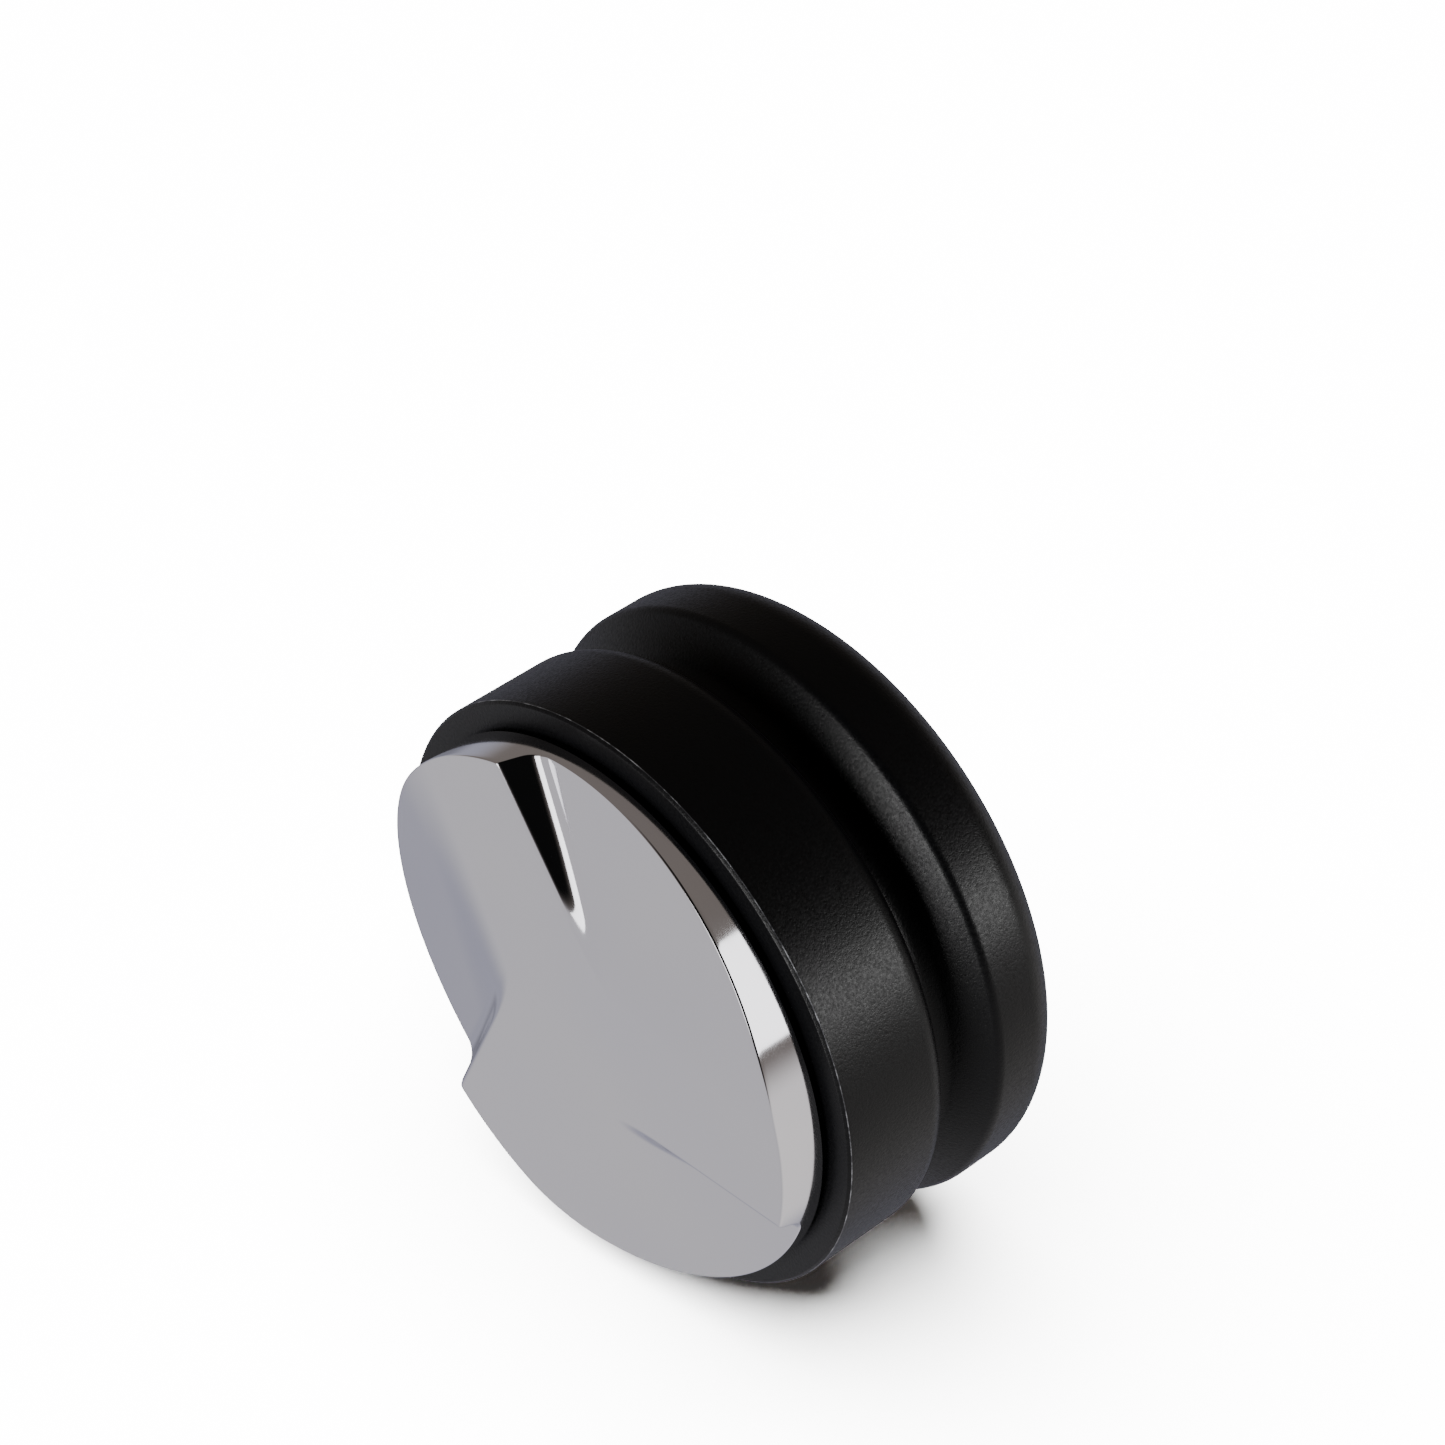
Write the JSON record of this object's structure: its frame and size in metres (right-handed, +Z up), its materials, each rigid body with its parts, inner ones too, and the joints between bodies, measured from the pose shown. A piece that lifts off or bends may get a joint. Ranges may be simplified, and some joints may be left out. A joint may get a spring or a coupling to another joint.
{
  "type": "coffee distributor",
  "caption": "Palm coffee distributor: a polished steel disc with three sloping blades under a black waisted handle that screws up and down to set the depth.",
  "frame": {"origin": "centre of the flat lands under the blades, where the disc stands", "axes": "+Z up the axis from the blades to the handle's lid; +Y through one blade's tip"},
  "size_m": [0.065, 0.065, 0.036],
  "materials": {
    "polished_steel": "mirror polished stainless steel",
    "turned_steel": "fine turned stainless steel",
    "fastener_steel": "plain steel",
    "spring_steel": "black oxide spring steel",
    "bush_brass": "turned brass",
    "ring_rubber": "moulded nitrile rubber",
    "black_anodised": "bead blasted, black anodised",
    "foam_tape": "thin foam tape"
  },
  "bodies": {
    "steel_base": {"blade_disc": "polished_steel", "threaded_post": "turned_steel", "post_screws": "fastener_steel", "post_dowels": "fastener_steel", "lower_friction_ring": "ring_rubber", "upper_friction_ring": "ring_rubber", "stop_ring": "spring_steel"},
    "stop_slider": {"stop_washer": "bush_brass"},
    "handle": {"handle_body": "black_anodised", "threaded_bush": "bush_brass", "bush_screws": "fastener_steel", "handle_lid": "black_anodised", "lid_tape": "foam_tape"}
  },
  "joints": [
    {"name": "handle_rise", "type": "slide", "parent": "steel_base", "child": "stop_slider", "axis": [0, 0, 1], "range_m": [0, 0.0045]},
    {"name": "handle_turn", "type": "hinge", "parent": "stop_slider", "child": "handle", "pos_m": [0, 0, 0], "axis": [0, 0, 1], "range_deg": [0, 1080]}
  ],
  "couplings": [
    {"joint": "handle_rise", "follows": "handle_turn", "m_per_rad": 0.0002387}
  ]
}
